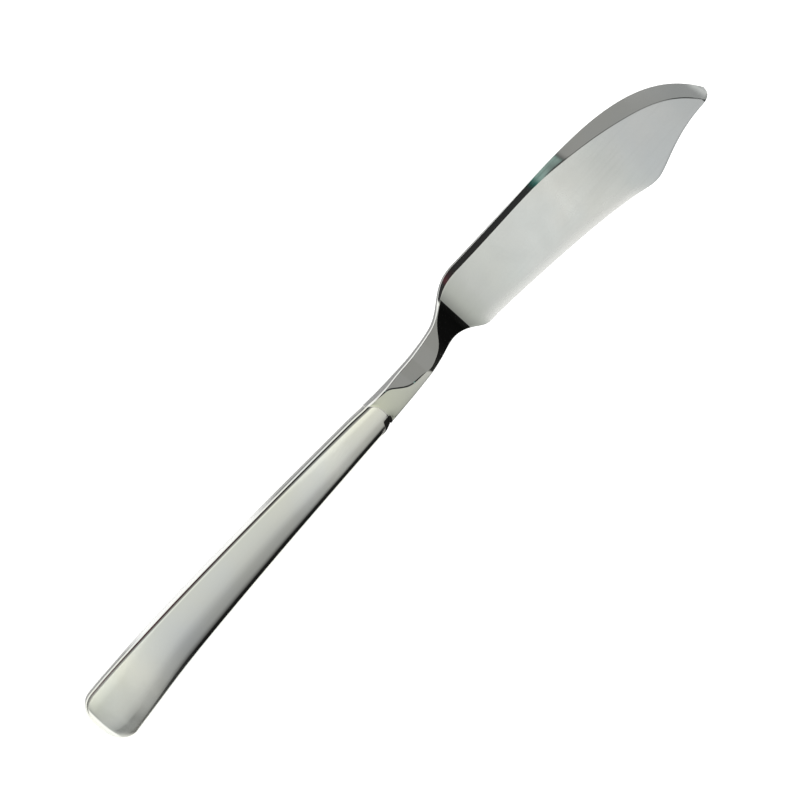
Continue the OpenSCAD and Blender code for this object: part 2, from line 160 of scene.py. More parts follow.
def rounded(corners: Sequence[Corner]) -> Ring:
    """Rounds the corners of a closed ring.

    Args:
        corners: the ring's corners in order.

    Returns:
        The ring's points, of the same number for the same steps.
    """
    points: Ring = []
    for i, corner in enumerate(corners):
        if not corner.steps:
            points.append(corner.point.copy())
            continue
        before = corners[i - 1].point - corner.point
        after = corners[(i + 1) % len(corners)].point - corner.point
        start = corner.point + before.normalized() * min(corner.cut, before.length * SIDE_SHARE)
        end = corner.point + after.normalized() * min(corner.cut, after.length * SIDE_SHARE)
        for k in range(corner.steps + 1):
            u = k / corner.steps
            points.append(start * (1 - u) ** 2 + corner.point * (2 * u * (1 - u)) + end * u * u)
    return points


# Modelling


def deselect_all() -> None:
    """Deselects every object, so that the next operator acts on the new piece alone."""
    if bpy.context.mode != "OBJECT":
        bpy.ops.object.mode_set(mode="OBJECT")
    bpy.ops.object.select_all(action="DESELECT")


def add(name: str, operator: Callable[..., object], **settings: object) -> Piece:
    """Adds an object.

    Args:
        name: the object's name.
        operator: the operator that adds it.
        settings: the operator's settings by name.

    Returns:
        The new object, which alone is selected.
    """
    deselect_all()
    operator(**settings)
    made = bpy.context.object
    made.name = made.data.name = name
    return made


def pick(piece: Piece) -> None:
    """Makes one piece the only selected and the active one."""
    deselect_all()
    piece.select_set(True)
    bpy.context.view_layer.objects.active = piece


def apply_modifier(piece: Piece, kind: str, **settings: object) -> None:
    """Adds a modifier to a piece, sets it and applies it.

    Args:
        piece: the piece to finish.
        kind: the modifier's type.
        settings: its settings by name.
    """
    pick(piece)
    bpy.ops.object.modifier_add(type=kind)
    added = piece.modifiers[-1]
    for name, value in settings.items():
        setattr(added, name, value)
    bpy.ops.object.modifier_apply(modifier=added.name)


def smooth(piece: Piece, sharp_from: float = 35.0) -> None:
    """Shades a piece smooth, keeps edges sharper than an angle, and levels its broad faces."""
    pick(piece)
    bpy.ops.object.shade_smooth_by_angle(angle=math.radians(sharp_from))
    apply_modifier(piece, "WEIGHTED_NORMAL", keep_sharp=True, weight=50)


class Loft:
    """A skin that grows from one circle by extruding its last ring again and again."""

    def __init__(self, name: str, rings: Sequence[Ring]) -> None:
        """Adds the circle, shapes it into the first ring and extrudes the others.

        Args:
            name: the piece's name.
            rings: points of each ring, as many in each, in metres in the row frame.
        """
        first = rings[0]
        middle = sum(first, Vector()) / len(first)
        reach = max((p - middle).length for p in first)
        self.piece = add(
            name, bpy.ops.mesh.primitive_circle_add, vertices=len(first), radius=reach, location=middle,
            rotation=(0, math.pi / 2, 0),
        )
        bpy.ops.object.transform_apply(location=True, rotation=True, scale=True)
        bpy.ops.object.mode_set(mode="EDIT")
        bpy.ops.mesh.select_mode(type="EDGE")
        self.known = [list(range(len(first)))]
        self._shape(first)
        for ring in rings[1:]:
            self._extend(ring)

    def _shape(self, ring: Ring) -> None:
        """Moves the last ring's vertices to their places."""
        work = bmesh.from_edit_mesh(self.piece.data)
        work.verts.ensure_lookup_table()
        for index, point in zip(self.known[-1], ring):
            work.verts[index].co = point
        bmesh.update_edit_mesh(self.piece.data, loop_triangles=False, destructive=False)

    def _extend(self, ring: Ring) -> None:
        """Extrudes the last ring and moves the new one to its places."""
        known = len(bmesh.from_edit_mesh(self.piece.data).verts)
        bpy.ops.mesh.extrude_edges_move()
        work = bmesh.from_edit_mesh(self.piece.data)
        work.verts.index_update()
        work.verts.ensure_lookup_table()
        grown = []
        for index in self.known[-1]:
            old = work.verts[index]
            grown.append(next(v.index for e in old.link_edges if (v := e.other_vert(old)).index >= known))
        self.known.append(grown)
        self._shape(ring)

    def _cap(self, indices: Iterable[int]) -> None:
        """Closes the skin over the ring of these vertices."""
        bpy.ops.mesh.select_all(action="DESELECT")
        wanted = set(indices)
        for edge in bmesh.from_edit_mesh(self.piece.data).edges:
            if wanted.issuperset(v.index for v in edge.verts):
                edge.select_set(True)
        bmesh.update_edit_mesh(self.piece.data, loop_triangles=False, destructive=False)
        bpy.ops.mesh.edge_face_add()

    def finish(self, *capped: int, merge: float = 0.0) -> Piece:
        """Closes the skin, turns all faces outwards and leaves edit mode.

        Args:
            capped: numbers of the rings to close it over.
            merge: distance within which doubles are merged.

        Returns:
            The piece.
        """
        for ring in capped:
            self._cap(self.known[ring])
        bpy.ops.mesh.select_all(action="SELECT")
        if merge:
            bpy.ops.mesh.remove_doubles(threshold=merge)
        bpy.ops.mesh.normals_make_consistent(inside=False)
        bpy.ops.object.mode_set(mode="OBJECT")
        return self.piece


# Materials


class Wiring:
    """Adds nodes to one node tree and joins them."""

    def __init__(self, tree: Tree) -> None:
        """Keeps the tree that the nodes go into."""
        self.tree = tree

    @classmethod
    def of(cls, owner: bpy.types.Material | bpy.types.World) -> "Wiring":
        """The wiring of a new material or world, with nothing in it."""
        owner.use_nodes = True
        owner.node_tree.nodes.clear()
        return cls(owner.node_tree)

    def node(self, kind: str, inputs: dict[str | int, object] | None = None, **settings: object) -> bpy.types.Node:
        """Adds a node.

        Args:
            kind: the node's type.
            inputs: value or socket for each input, by name or number, with colours as red, green and blue.
            settings: the node's own settings by name.

        Returns:
            The new node.
        """
        made = self.tree.nodes.new(kind)
        for name, value in settings.items():
            setattr(made, name, value)
        for name, value in (inputs or {}).items():
            socket = made.inputs[name]
            if isinstance(value, Socket):
                self.tree.links.new(value, socket)
            else:
                socket.default_value = (*value, 1.0) if socket.type == "RGBA" else value
        return made

    def group(self, effect: Tree, **inputs: object) -> bpy.types.Node:
        """Places a shared effect with its own values."""
        return self.node("ShaderNodeGroup", inputs, node_tree=effect)

    def mark(self, name: str) -> Socket:
        """The value of a piece's own attribute."""
        return self.node("ShaderNodeAttribute", attribute_name=name).outputs["Fac"]

    def math(self, operation: str, *values: object, clamp: bool = False) -> Socket:
        """One step of arithmetic, and its result."""
        return self.node("ShaderNodeMath", dict(enumerate(values)), operation=operation, use_clamp=clamp).outputs[0]

    def product(self, first: object, *others: object) -> Socket:
        """All these values multiplied."""
        for value in others:
            first = self.math("MULTIPLY", first, value)
        return first

    def scaled(self, value: object, factor: object, base: object, clamp: bool = False) -> Socket:
        """A value times a factor, on top of a base."""
        return self.math("MULTIPLY_ADD", value, factor, base, clamp=clamp)

    def rest(self, mask: object) -> Socket:
        """What a mask leaves out."""
        return self.math("SUBTRACT", 1.0, mask)

    def step(self, value: object, low: float, high: float) -> Socket:
        """A smooth step from 0 at low to 1 at high, on the way up or down."""
        made = self.node(
            "ShaderNodeMapRange", {"Value": value, "From Min": low, "From Max": high}, interpolation_type="SMOOTHSTEP"
        )
        return made.outputs["Result"]

    def ramp(self, value: object, stops: Tints) -> Socket:
        """A colour that runs through stops of place and colour."""
        made = self.node("ShaderNodeValToRGB", {"Fac": value})
        band = made.color_ramp
        while len(band.elements) < len(stops):
            band.elements.new(1.0)
        for element, (place, colour) in zip(band.elements, stops):
            element.position, element.color = place, (*colour, 1.0)
        return made.outputs["Color"]

    def blend(self, share: object, a: object, b: object) -> Socket:
        """Colour a where share is 0 and colour b where it is 1."""
        factor, colour_a, colour_b, result = 0, 6, 7, 2  # the Mix node's colour sockets
        inputs = {factor: share, colour_a: a, colour_b: b}
        return self.node("ShaderNodeMix", inputs, data_type="RGBA", clamp_factor=True).outputs[result]

    def bump(self, height: object, rise: float, **below: object) -> Socket:
        """The normal of a relief that is so many metres high, on top of another normal if one is given."""
        return self.node("ShaderNodeBump", {"Height": height, "Distance": rise, **below}).outputs[0]

    def surface(self, inputs: dict[str | int, object]) -> None:
        """Ends a material in a shader with these inputs."""
        shader = self.node("ShaderNodeBsdfPrincipled", inputs)
        self.node("ShaderNodeOutputMaterial", {"Surface": shader.outputs[0]})


class Effect:
    """A surface effect that several finishes use: a node group with named sockets."""

    def __init__(self, name: str, inputs: Sequence[str], outputs: Sequence[str]) -> None:
        """Makes the group and its sockets.

        Args:
            name: the group's name.
            inputs: names of its inputs, of which Vector and Normal are vectors.
            outputs: names of the values that it puts out.
        """
        self.tree = bpy.data.node_groups.new(name, "ShaderNodeTree")
        for way, sockets in (("INPUT", inputs), ("OUTPUT", outputs)):
            for socket in sockets:
                kind = "NodeSocketVector" if socket in ("Vector", "Normal") else "NodeSocketFloat"
                self.tree.interface.new_socket(name=socket, in_out=way, socket_type=kind)
        self.wires = Wiring(self.tree)
        self.given = self.wires.node("NodeGroupInput").outputs
        self.result = self.wires.node("NodeGroupOutput").inputs

    def put(self, name: str, value: Socket) -> None:
        """Joins a value to one of the outputs."""
        self.tree.links.new(value, self.result[name])


class Effects:
    """The effects that the steel, the braze and the cement share."""

    streak_steps: Fade = (0.52, 0.72)
    smudge_steps: Fade = (0.4, 0.68)
    top_steps: Fade = (0.93, 0.965)
    side_steps: Fade = (0.55, 0.25)

    def __init__(self) -> None:
        """Builds each group once."""
        self.drawn = self.build_drawn()
        self.smudges = self.build_smudges()
        self.sides = self.build_sides()

    def build_drawn(self) -> Tree:
        """Streaks drawn out along the knife, as a polishing wheel leaves them."""
        made = Effect("drawn_streaks", ("Vector", "Length", "Width", "Detail"), ("Height", "Mask"))
        wires, given = made.wires, made.given
        per_length, per_width = (wires.math("DIVIDE", 1.0, given[name]) for name in ("Length", "Width"))
        rate = wires.node("ShaderNodeCombineXYZ", {0: per_length, 1: per_width, 2: per_width}).outputs[0]
        drawn = wires.node("ShaderNodeVectorMath", {0: given["Vector"], 1: rate}, operation="MULTIPLY").outputs[0]
        noise = wires.node("ShaderNodeTexNoise", {"Vector": drawn, "Scale": 1.0, "Detail": given["Detail"]})
        made.put("Height", noise.outputs[0])
        made.put("Mask", wires.step(noise.outputs[0], *self.streak_steps))
        return made.tree

    def build_smudges(self) -> Tree:
        """Faint marks that hands and washing leave on polish."""
        made = Effect("handling_marks", ("Vector", "Size", "Warp"), ("Mask",))
        wires, given = made.wires, made.given
        rate = wires.math("DIVIDE", 1.0, given["Size"])
        inputs = {"Vector": given["Vector"], "Scale": rate, "Detail": 4.0, "Distortion": given["Warp"]}
        noise = wires.node("ShaderNodeTexNoise", inputs)
        made.put("Mask", wires.step(noise.outputs[0], *self.smudge_steps))
        return made.tree

    def build_sides(self) -> Tree:
        """Tells upper faces from side faces by their normal."""
        made = Effect("face_sides", ("Normal",), ("Top", "Side"))
        wires = made.wires
        level = wires.math("ABSOLUTE", wires.node("ShaderNodeSeparateXYZ", {0: made.given["Normal"]}).outputs[2])
        made.put("Top", wires.step(level, *self.top_steps))
        made.put("Side", wires.step(level, *self.side_steps))
        return made.tree


@dataclass(frozen=True)
class Finish:
    """A finish, the effects that it is made from, and the painted shade in the joint's step that a piece's attribute
    puts on it.
    """

    name: str
    effects: Effects
    # The painted shade in the joint's step: the attribute that places it, its near-black colour and the fade of its
    # mask
    step_shade_name: str = ""
    soot: Shade = (0.012, 0.012, 0.011)
    step_shade_steps: Fade = (0.05, 0.4)

    def start(self) -> tuple[bpy.types.Material, Wiring, Socket, Socket]:
        """Starts a material.

        Returns:
            The empty material, its wiring, its Object coordinates and its normal.
        """
        material = bpy.data.materials.new(self.name)
        wires = Wiring.of(material)
        coords = wires.node("ShaderNodeTexCoord").outputs
        return material, wires, coords["Object"], coords["Normal"]


@dataclass(frozen=True, kw_only=True)
class PolishedSteel(Finish):
    """Mirror polished stainless steel with fine wear.

    Each row of stops gives a share along the piece, from 0 at its start to 1 at its end, and a value.
    Haze stands for fine scratches, which take the mirror away by parts. Sizes are in metres. Light and shade
    are painted into its colour as painted reflections: top faces lighter or darker along the piece, side faces
    light or dark, the honed strip lighter, and painted shade in the joint's step.
    """

    start_x: float = 0.0
    end_x: float
    crown_haze: Stops
    shoulder_haze: Stops = ((0, 0), (1, 0))
    side_shade: Stops
    painted_top_light: Tints
    honed_highlight_name: str = ""
    colour: Shade = (0.865, 0.87, 0.84)
    cool: Shade = (0.828, 0.858, 0.85)
    honed_highlight: Shade = (0.93, 0.93, 0.9)
    honed_highlight_power: float = 1.8
    honed_haze: float = 0.7
    roughness: float = 0.07
    haze_rough: float = 0.35
    step_shade_rough: float = 0.7
    side_rough: float = 0.2
    streak_rough: float = 0.03
    gloss: float = 0.5
    step_shade_gloss: float = 0.05
    streak_rise: float = 0.0000004
    ripple_rise: float = 0.000009

    def build(self) -> bpy.types.Material:
        """Makes the material.

        Returns:
            The material, on Object coordinates, so that it runs on from piece to piece.
        """
        material, wires, place, normal = self.start()
        drawn, smudges = self.effects.drawn, self.effects.smudges
        x = wires.node("ShaderNodeSeparateXYZ", {0: place}).outputs[0]
        start, end = settle(self.start_x, 0, 0).x, settle(self.end_x, 0, 0).x
        share = wires.math("DIVIDE", wires.math("SUBTRACT", x, start), end - start, clamp=True)

        def along(stops: Stops) -> Socket:
            """A value that changes along the piece."""
            return wires.ramp(share, [(at, (value, value, value)) for at, value in stops])

        streaks = wires.group(drawn, Vector=place, Length=0.02, Width=0.0005, Detail=1.0).outputs
        ripple = wires.group(drawn, Vector=place, Length=0.016, Width=0.0035, Detail=1.0).outputs
        marks = wires.group(smudges, Vector=place, Size=0.011, Warp=0.7).outputs[0]
        clouds = wires.group(smudges, Vector=place, Size=0.03, Warp=0.4).outputs[0]
        top, side = wires.group(self.effects.sides, Normal=normal).outputs
        haze = wires.product(along(self.crown_haze), top, wires.scaled(marks, 1.0, 0.5))
        haze = wires.scaled(along(self.shoulder_haze), wires.rest(top), haze, clamp=True)
        # Painted shade in the joint's step, where the piece's attribute places it: near black, unmetallic and rough
        soot = wires.step(wires.mark(self.step_shade_name), *self.step_shade_steps)
        base = wires.blend(clouds, self.colour, self.cool)
        # Top faces painted lighter or darker along the piece, as painted reflections
        painted_top = {0: base, 1: wires.ramp(share, self.painted_top_light)}
        base = wires.blend(top, base, wires.node("ShaderNodeVectorMath", painted_top, operation="MULTIPLY").outputs[0])
        # Side faces painted light or dark along the piece, as painted reflections
        base = wires.blend(side, base, along(self.side_shade))
        # The honed strip along the edge: hazy, and painted lighter as a painted highlight
        if self.honed_highlight_name:
            strip = wires.math("POWER", wires.mark(self.honed_highlight_name), self.honed_highlight_power)
            haze = wires.math("MAXIMUM", haze, wires.math("MULTIPLY", strip, self.honed_haze))
            base = wires.blend(strip, base, self.honed_highlight)
        rough = wires.scaled(haze, self.haze_rough, self.roughness)
        rough = wires.scaled(soot, self.step_shade_rough, rough)
        rough = wires.scaled(side, self.side_rough, rough)
        rough = wires.scaled(streaks["Mask"], self.streak_rough, rough, clamp=True)
        fine = wires.bump(streaks["Height"], self.streak_rise)
        wires.surface({
            "Base Color": wires.blend(soot, base, self.soot), "Roughness": rough,
            "Metallic": wires.rest(wires.math("MAXIMUM", haze, soot)),
            "Specular IOR Level": wires.scaled(soot, self.step_shade_gloss - self.gloss, self.gloss),
            "Normal": wires.bump(ripple["Height"], self.ripple_rise, Normal=fine),
        })
        return material


@dataclass(frozen=True)
class Braze(Finish):
    """Silver braze, dressed flush: a little darker and yellower than the steel, with fine pits."""

    colour: Shade = (0.84, 0.83, 0.78)
    dull: Shade = (0.7, 0.69, 0.64)
    pit_dull: float = 0.6
    pit_rough: float = 0.15
    roughness: float = 0.3
    pit_rise: float = 0.00001

    def build(self) -> bpy.types.Material:
        """Makes the material."""
        material, wires, place, _ = self.start()
        pits = wires.group(self.effects.smudges, Vector=place, Size=0.0005, Warp=0.2).outputs[0]
        drawn = wires.group(self.effects.drawn, Vector=place, Length=0.004, Width=0.0003, Detail=2.0).outputs
        # Painted shade in the joint's step, where the piece's attribute places it
        soot = wires.step(wires.mark(self.step_shade_name), *self.step_shade_steps)
        base = wires.blend(wires.math("MULTIPLY", pits, self.pit_dull), self.colour, self.dull)
        wires.surface({
            "Base Color": wires.blend(soot, base, self.soot),
            "Roughness": wires.scaled(pits, self.pit_rough, self.roughness),
            "Metallic": wires.rest(soot), "Normal": wires.bump(drawn["Height"], self.pit_rise),
        })
        return material


@dataclass(frozen=True)
class Cement(Finish):
    """Matt handle cement: a fine sandy grain with paler lumps."""

    colour: Shade = (0.6, 0.55, 0.46)
    pale: Shade = (0.7, 0.66, 0.57)
    roughness: float = 0.85
    grain_smooth: float = -0.1
    grain_rise: float = 0.00008

    def build(self) -> bpy.types.Material:
        """Makes the material."""
        material, wires, place, _ = self.start()
        lumps = wires.group(self.effects.smudges, Vector=place, Size=0.002, Warp=0.5).outputs[0]
        grain = wires.group(self.effects.drawn, Vector=place, Length=0.0004, Width=0.0004, Detail=3.0).outputs
        wires.surface({
            "Base Color": wires.blend(lumps, self.colour, self.pale),
            "Roughness": wires.scaled(grain["Mask"], self.grain_smooth, self.roughness),
            "Normal": wires.bump(grain["Height"], self.grain_rise),
        })
        return material


def dress(piece: Piece, material: bpy.types.Material, slot: Slot) -> None:
    """Gives a piece its material and its body."""
    piece.data.materials.clear()
    piece.data.materials.append(material)
    if "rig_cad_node" not in piece:
        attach(piece, ROOT)
    log.info("%s: %d faces", piece.name, len(piece.data.polygons))


# The studio


@dataclass(frozen=True)
class Studio:
    """A white table under one broad soft light, with darker walls around it.

    Bands and fades are angles in degrees from straight up, across the knife towards its back or
    along it towards the tip, and levels run from 0 to 255.
    """

    view_tilt: float = 12.0
    view_turn: float = 48.4
    distance: float = 0.7
    seen_width: float = 0.1866
    sensor: float = 36.0
    aim: Shade = (0.0008, -0.0006, 0.0)
    floor_size: float = 6.0
    floor_colour: Shade = (0.86, 0.86, 0.855)
    floor_glow: float = 0.2
    shadow_fill: float = 0.32
    lamp_power: float = 2.1
    lamp_spread: float = 45.0
    lamp_from: Shade = (-0.25, 0.12, 0.96)
    steel: float = 0.86
    warm_share: float = 0.3
    room_bands: Sequence[tuple[float, int, float]] = (
        (-90, 60, 0), (-80, 26, 0), (-52, 22, 0), (-48, 120, 0), (-45, 146, 0), (-34, 160, 0), (-28, 176, 0),
        (-22, 190, 0.01), (-12, 198, 0.02), (0, 202, 0.03), (8, 204, 0.05), (18, 228, 0.06), (27.5, 241, 0.06),
        (30, 140, 0.03), (50, 132, 0.03), (57, 44, 0), (90, 44, 0),
    )
    wall_bands: Sequence[tuple[float, int | Shade, float]] = (
        (-40, 60, 0), (-14, 44, 0), (-7, (78, 46, 50), 0), (-1, (58, 44, 47), 0), (3, 42, 0), (9, 46, 0),
        (10, (26, 74, 68), 0), (11, (40, 100, 92), 0), (12, (150, 172, 166), 0), (14, 70, 0), (40, 50, 0),
    )

    def build_camera(self) -> Piece:
        """Hangs the camera over the knife as the photograph was taken."""
        tilt, turn = math.radians(self.view_tilt), math.radians(self.view_turn)
        away = Vector((0, math.sin(tilt), math.cos(tilt)))
        along, across = Vector((1, 0, 0)), Vector((0, math.cos(tilt), -math.sin(tilt)))
        right = along * math.cos(turn) - across * math.sin(turn)
        up = along * math.sin(turn) + across * math.cos(turn)
        camera = add("camera", bpy.ops.object.camera_add, location=Vector(self.aim) + away * self.distance)
        camera.rotation_euler = Matrix((right, up, away)).transposed().to_euler()
        camera.data.lens = self.sensor * self.distance / self.seen_width
        camera.data.sensor_width = self.sensor
        camera.data.clip_start = 0.01
        bpy.context.scene.camera = camera
        return camera

    def build_floor(self) -> Piece:
        """Lays the plain white table."""
        floor = add("table", bpy.ops.mesh.primitive_plane_add, size=self.floor_size, location=(0, 0, 0))
        material = bpy.data.materials.new("plain_white_table")
        wires = Wiring.of(material)
        path = wires.node("ShaderNodeLightPath").outputs
        seen = wires.math("MAXIMUM", path["Is Camera Ray"], path["Is Glossy Ray"])
        seen = wires.math("MAXIMUM", seen, path["Is Transmission Ray"])
        glow = wires.math("MULTIPLY", seen, self.floor_glow)
        wires.surface({
            "Base Color": self.floor_colour, "Roughness": 0.7, "Specular IOR Level": 0.2,
            "Emission Color": (1.0, 1.0, 1.0),
            "Emission Strength": wires.scaled(path["Is Camera Ray"], self.shadow_fill, glow),
        })
        floor.data.materials.append(material)
        return floor

    def build_lamp(self) -> Piece:
        """Adds the broad soft light overhead, which the steel doesn't mirror as a spot."""
        lamp = add("soft_light", bpy.ops.object.light_add, type="SUN", location=(0, 0, 1))
        lamp.data.energy = self.lamp_power
        lamp.data.angle = math.radians(self.lamp_spread)
        lamp.rotation_euler = Vector(self.lamp_from).normalized().to_track_quat("Z", "Y").to_euler()
        lamp.visible_glossy = False
        return lamp

    def light(self, level: int | Shade, warm: float = 0.0) -> Shade:
        """Light that the steel mirrors as a rendered level from 0 to 255.

        Args:
            level: the level, or one for each of red, green and blue.
            warm: how creamy the light is.

        Returns:
            Linear light in red, green and blue.
        """
        levels = level if isinstance(level, tuple) else (level, level, level)
        red, green, blue = (
            (((v / 255 + 0.055) / 1.055) ** 2.4 if v > 10 else v / 255 / 12.92) / self.steel for v in levels
        )
        warmer = 1 + warm * self.warm_share
        return red * warmer, green * warmer, blue * (1 - warm)

    def bands(self, wires: Wiring, angle: Socket, rows: Sequence[tuple[float, int | Shade, float]]) -> Socket:
        """Draws bands of light.

        Args:
            wires: the world's wiring.
            angle: the angle that the bands change with, in degrees.
            rows: angle, level and warmth of each band.

        Returns:
            The light at the angle.
        """
        share = wires.math("DIVIDE", wires.math("ADD", angle, 90.0), 180.0, clamp=True)
        return wires.ramp(share, [((at + 90) / 180, self.light(level, warm)) for at, level, warm in rows])

    def build_world(self) -> bpy.types.World:
        """Draws the room that the steel mirrors.

        Returns:
            The world: bright overhead, grey walls higher up, dark ones low down.
        """
        world = bpy.data.worlds.new("studio_room")
        wires = Wiring.of(world)
        way = wires.node("ShaderNodeTexCoord").outputs["Generated"]
        x, y, z = wires.node("ShaderNodeSeparateXYZ", {0: way}).outputs
        across = wires.math("DEGREES", wires.math("ARCTAN2", y, z))
        along = wires.math("DEGREES", wires.math("ARCSINE", x))
        step, grey = wires.step, self.light
        room = self.bands(wires, across, self.room_bands)
        corner = wires.blend(step(across, -38.5, -36.5), grey(116), grey(86))
        past_flat = step(across, 33.0, 26.0)
        for light, *masks in (
            # The wall that the spine mirrors, and the dark end of the table that the ramp does
            (self.bands(wires, along, self.wall_bands), step(across, 54.0, 58.0)),
            (grey(12), step(along, 6.0, 14.0), step(across, -5.0, -11.0)),
            # The grey behind the tip's bevel
            (grey(141, 0.02), step(along, 8.0, 15.0), step(across, -7.0, 1.0), step(across, 56.0, 50.0)),
            # The lower corner of the butt, and the light beyond its rolled end
            (corner, step(along, -7.2, -8.0), step(across, -34.5, -36.5), step(across, -49.0, -47.0)),
            (grey(186, 0.02), step(along, -10.0, -20.0), past_flat),
            (grey(255), step(along, -24.0, -40.0), past_flat),
            # The dark far past the tip
            (grey(46), step(along, 40.0, 52.0)),
        ):
            room = wires.blend(wires.product(*masks), room, light)
        path = wires.node("ShaderNodeLightPath").outputs
        mirrored = wires.math("MAXIMUM", path["Is Glossy Ray"], path["Is Transmission Ray"])
        white = wires.math("MAXIMUM", path["Is Camera Ray"], wires.math("MULTIPLY", mirrored, step(z, 0.09, 0.05)))
        room = wires.blend(white, room, (1.0, 1.0, 1.0))
        shine = wires.node("ShaderNodeBackground", {"Color": room, "Strength": 1.0})
        wires.node("ShaderNodeOutputWorld", {"Surface": shine.outputs[0]})
        bpy.context.scene.world = world
        return world

    def build(self) -> None:
        """Builds the camera, the table, the lamp and the room."""
        self.build_camera()
        self.build_floor()
        self.build_lamp()
        self.build_world()
        bpy.context.scene.view_settings.view_transform = "Standard"


# The knife


def settle(x: float, y: float, z: float) -> Vector:
    """A point of the knife, moved to the row frame and to metres."""
    return Vector((x - TIP_X / 2, y + (BELLY_DROP - BACK_RISE) / 2, z)) * MM


@dataclass
class Handle:
    """The hollow handle: two pressed shells, the braze in their seam and at the collar.

    Lengths are in millimetres, x from the butt, y from the axis and z from the table. A row holds
    place, value and slope of a curve's knots. Turns are the crown's slopes at its two shoulders.
    """

    length: float = 98.8
    butt_w: float = 14.5
    front_w: float = 7.5
    side_swell: float = 0.04
    thick: float = 5.8
    shoulder_r: float = 1.5
    butt_round_l: float = 5.2
    butt_roll_l: float = 2.2
    butt_square: float = 1.85
    back_square: float = 2.5
    butt_flat: float = 0.998
    break_angle: float = 42.0
    break_r: float = 0.45
    break_share: float = 0.125
    mid_rows: Rows = ((0, -0.44, 0), (8.9, 0, 0.048), (36.56, 0.66, 0), (98.8, -0.4, -0.029))
    back_turns: Rows = (
        (4, 18, 0), (14, 17, -0.4), (30, 9, 0), (60, 9, 0), (82, 18, 0.3), (98.8, 20, 0),
    )
    edge_turns: Rows = ((4, 20.5, 0), (12, 17.4, 0), (24, 19.5, 0), (98.8, 20, 0))
    edge_radii: Rows = ((8, 2, 0), (13, 2.3, 0.06), (24, 3.2, 0), (98.8, 2.9, 0))

    wall: float = 0.8
    seam_t: float = 0.16
    collar_t: float = 0.16
    collar_depth: float = 0.72
    collar_sink: float = 0.012
    collar_hollow: float = 0.02
    collar_sharp: float = 50.0
    joint_sweep: float = 2.2
    joint_sweep_l: float = 7.0
    joint_sweep_power: float = 2.6
    joint_middle: float = -0.3
    step_from: float = 1.0
    step_fade: float = 1.6
    step_down: float = 0.45
    step_l: float = 2.0
    rim_down: float = 0.01
    rim_l: float = 0.22
    # Painted shade in the step at the joint's lower end, by distance before the joint
    step_shade_rows: Rows = ((-0.75, 0, 0), (-0.35, 1, 0), (1.5, 1, 0), (2, 0, 0))
    step_shade_name: str = "soot"

    butt_steps: int = 26
    side_steps: int = 34
    front_steps: int = 12
    front_crowding: float = 1.6
    crown_steps: int = 30
    shoulder_steps: int = 9
    break_steps: int = 5

    @property
    def axis_z(self) -> float:
        """Height of the seam."""
        return self.thick / 2

    @property
    def front_sag(self) -> float:
        """How far the front rim's middle lies towards the edge side."""
        return -self.mid_rows[-1][1]

    def mid(self, x: float) -> float:
        """Place of the handle's middle line at x."""
        return guide(self.mid_rows, x)

    def side(self, x: float) -> float:
        """Half width at x before the butt rounds off."""
        u = max(0.0, (x - self.butt_round_l) / (self.length - self.butt_round_l))
        return mix(self.butt_w, self.front_w, u) / 2 + 4 * self.side_swell * u * (1 - u)

    def plan_share(self, x: float, square: float) -> float:
        """Share of the full width that is left near the butt, for a corner of this squareness."""
        if x >= self.butt_round_l:
            return 1.0
        inwards = self.butt_flat * (1 - x / self.butt_round_l)
        return (1 - inwards**square) ** (1 / square)

    def roll_share(self, x: float) -> float:
        """Share of the full height that is left near the butt."""
        if x >= self.butt_roll_l:
            return 1.0
        return math.sqrt(1 - (self.butt_flat * (1 - x / self.butt_roll_l)) ** 2)

    def sweep(self, x: float, y: float) -> float:
        """How far the curved joint draws a point back towards the butt."""
        fade = 1 - ease(abs(x - self.length) / self.joint_sweep_l)
        aside = abs(y - self.joint_middle) / (self.front_w / 2 - self.joint_middle)
        return self.joint_sweep * min(1.0, aside) ** self.joint_sweep_power * fade

    def edge_side(self, y: float) -> float:
        """How far a point lies on the edge side of the joint, from 0 to 1."""
        return ease((-y - self.step_from) / self.step_fade)

    def drop(self, x: float, y: float) -> float:
        """How far the rounded front end lies under the handle's own surface."""
        deep = mix(self.rim_down, self.step_down, self.edge_side(y))
        long = mix(self.rim_l, self.step_l, self.edge_side(y))
        back = max(self.length - x, 0.0)
        return 0.0 if back >= long else deep * (1 - back / long) ** 2

    def turns(self, x: float) -> tuple[float, float]:
        """Slopes of the crown at x, at the back's and at the edge's shoulder, in radians."""
        return math.radians(guide(self.back_turns, x)), math.radians(guide(self.edge_turns, x))

    def arch(self, x: float) -> tuple[float, float, float, float, float]:
        """Sizes of the crown at x.

        Args:
            x: place along the handle.

        Returns:
            Half width, radii of the back's and of the edge's shoulder, radius and middle of the crown.
        """
        half = self.side(x) * self.plan_share(x, self.butt_square)
        turn, edge_turn = self.turns(x)
        back_r, edge_r = min(self.shoulder_r, half / 2), min(guide(self.edge_radii, x), half)
        stop = math.sin(math.radians(self.break_angle))
        back_y = half - back_r * (1 - math.sin(turn))
        edge_y = half - min(self.break_r, half * self.break_share) * (1 - stop) - edge_r * (stop - math.sin(edge_turn))
        crown_r = (back_y + edge_y) / (math.sin(turn) + math.sin(edge_turn))
        return half, back_r, edge_r, crown_r, back_y - crown_r * math.sin(turn)

